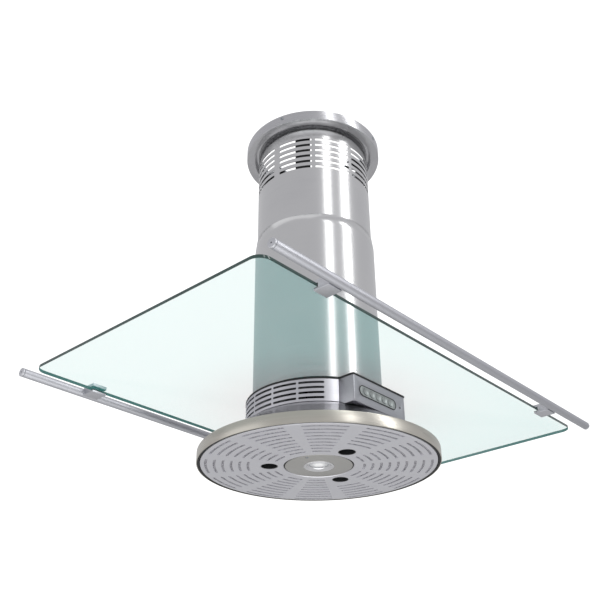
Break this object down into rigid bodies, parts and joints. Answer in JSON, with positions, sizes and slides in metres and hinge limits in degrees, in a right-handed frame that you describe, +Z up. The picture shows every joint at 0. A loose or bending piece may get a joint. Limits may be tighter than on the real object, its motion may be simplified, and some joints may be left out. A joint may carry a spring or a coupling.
{
  "type": "island range hood",
  "caption": "Ceiling-hung island range hood: round telescoping column, glass canopy with side rails, button drum, and a round suction disc with a pull-down filter plate and lamp.",
  "frame": {"origin": "centre of the ceiling face, on the column's axis", "axes": "+Z up into the ceiling, -Y out of the control panel's face, +X along the rails"},
  "size_m": [0.9, 0.597, 0.7036],
  "materials": {
    "stainless": "satin",
    "key_steel": "satin",
    "zinc_steel": "bright zinc",
    "spring_steel": "dark satin",
    "black_steel": "matt",
    "canopy_glass": "clear toughened, polished edge",
    "lens_glass": "frosted",
    "polished_trim": "polished",
    "rail_aluminium": "satin anodised",
    "filter_mesh": "woven",
    "flap_aluminium": "mill",
    "motor_body": "painted",
    "lamp_body": "cast",
    "black_rubber": "matt",
    "black_plastic": "moulded",
    "white_plastic": "moulded",
    "board_green": "solder resist",
    "smoked_lens": "gloss"
  },
  "bodies": {
    "ceiling": {"ceiling_ring": "zinc_steel", "ceiling_collar": "stainless", "collar_screws": "zinc_steel", "ring_screws": "zinc_steel", "upper_struts": "black_steel", "upper_cover": "stainless"},
    "hood": {"lower_struts": "black_steel", "strut_bolts": "zinc_steel", "lower_cover": "stainless", "glass_washer": "black_rubber", "carrier_ring": "zinc_steel", "canopy_screws": "zinc_steel", "glass_canopy": "canopy_glass", "drum_gasket": "black_rubber", "drum_housing": "stainless", "control_box": "stainless", "keypad_seal": "black_rubber", "keypad_plate": "key_steel", "control_board": "board_green", "status_lens": "smoked_lens", "disc_cover": "stainless", "disc_rim": "stainless", "rim_seal": "black_rubber", "catch_clips": "spring_steel", "lamp_bracket": "zinc_steel", "lamp_cap": "stainless", "cap_screw": "zinc_steel", "lamp_bezel": "polished_trim", "lamp_lens": "lens_glass", "lamp_unit": "lamp_body", "blower_housing": "black_steel", "inlet_ring": "zinc_steel", "fan_motor": "motor_body", "motor_mount": "zinc_steel", "outlet_spigot": "white_plastic", "damper_pin": "zinc_steel", "junction_box": "black_plastic", "front_rail": "rail_aluminium", "rear_rail": "rail_aluminium", "rail_caps": "rail_aluminium", "rail_clamp_1": "rail_aluminium", "rail_clamp_2": "rail_aluminium", "rail_clamp_3": "rail_aluminium", "rail_clamp_4": "rail_aluminium", "clamp_jaws": "rail_aluminium", "clamp_pads": "black_rubber", "clamp_screws": "zinc_steel"},
    "filter": {"filter_plate": "stainless", "grease_filter": "filter_mesh", "finger_cups": "black_plastic", "catch_studs": "zinc_steel"},
    "rotor": {"impeller": "black_plastic", "motor_shaft": "zinc_steel"},
    "damper_front": {"damper_flap_front": "flap_aluminium"},
    "damper_rear": {"damper_flap_rear": "flap_aluminium"},
    "button_1": {"button_1": "key_steel"},
    "button_2": {"button_2": "key_steel"},
    "button_3": {"button_3": "key_steel"},
    "button_4": {"button_4": "key_steel"},
    "button_5": {"button_5": "key_steel"}
  },
  "joints": [
    {"name": "height_slide", "type": "slide", "parent": "ceiling", "child": "hood", "axis": [0, 0, 1], "range_m": [-0.11, 0.08]},
    {"name": "filter_pull", "type": "slide", "parent": "hood", "child": "filter", "axis": [0, 0, 1], "range_m": [-0.12, 0]},
    {"name": "fan_spin", "type": "hinge", "parent": "hood", "child": "rotor", "pos_m": [0, 0, -0.502], "axis": [0, 0, 1], "continuous": true},
    {"name": "damper_front_swing", "type": "hinge", "parent": "hood", "child": "damper_front", "pos_m": [0, 0, -0.3395], "axis": [1, 0, 0], "range_deg": [-80, 0]},
    {"name": "damper_rear_swing", "type": "hinge", "parent": "hood", "child": "damper_rear", "pos_m": [0, 0, -0.3395], "axis": [1, 0, 0], "range_deg": [0, 80]},
    {"name": "button_1_press", "type": "slide", "parent": "hood", "child": "button_1", "axis": [0, 1, 0], "range_m": [0, 0.0012], "stiffness_N_per_m": 800, "springref_m": -0.0012},
    {"name": "button_2_press", "type": "slide", "parent": "hood", "child": "button_2", "axis": [0, 1, 0], "range_m": [0, 0.0012], "stiffness_N_per_m": 800, "springref_m": -0.0012},
    {"name": "button_3_press", "type": "slide", "parent": "hood", "child": "button_3", "axis": [0, 1, 0], "range_m": [0, 0.0012], "stiffness_N_per_m": 800, "springref_m": -0.0012},
    {"name": "button_4_press", "type": "slide", "parent": "hood", "child": "button_4", "axis": [0, 1, 0], "range_m": [0, 0.0012], "stiffness_N_per_m": 800, "springref_m": -0.0012},
    {"name": "button_5_press", "type": "slide", "parent": "hood", "child": "button_5", "axis": [0, 1, 0], "range_m": [0, 0.0012], "stiffness_N_per_m": 800, "springref_m": -0.0012}
  ]
}
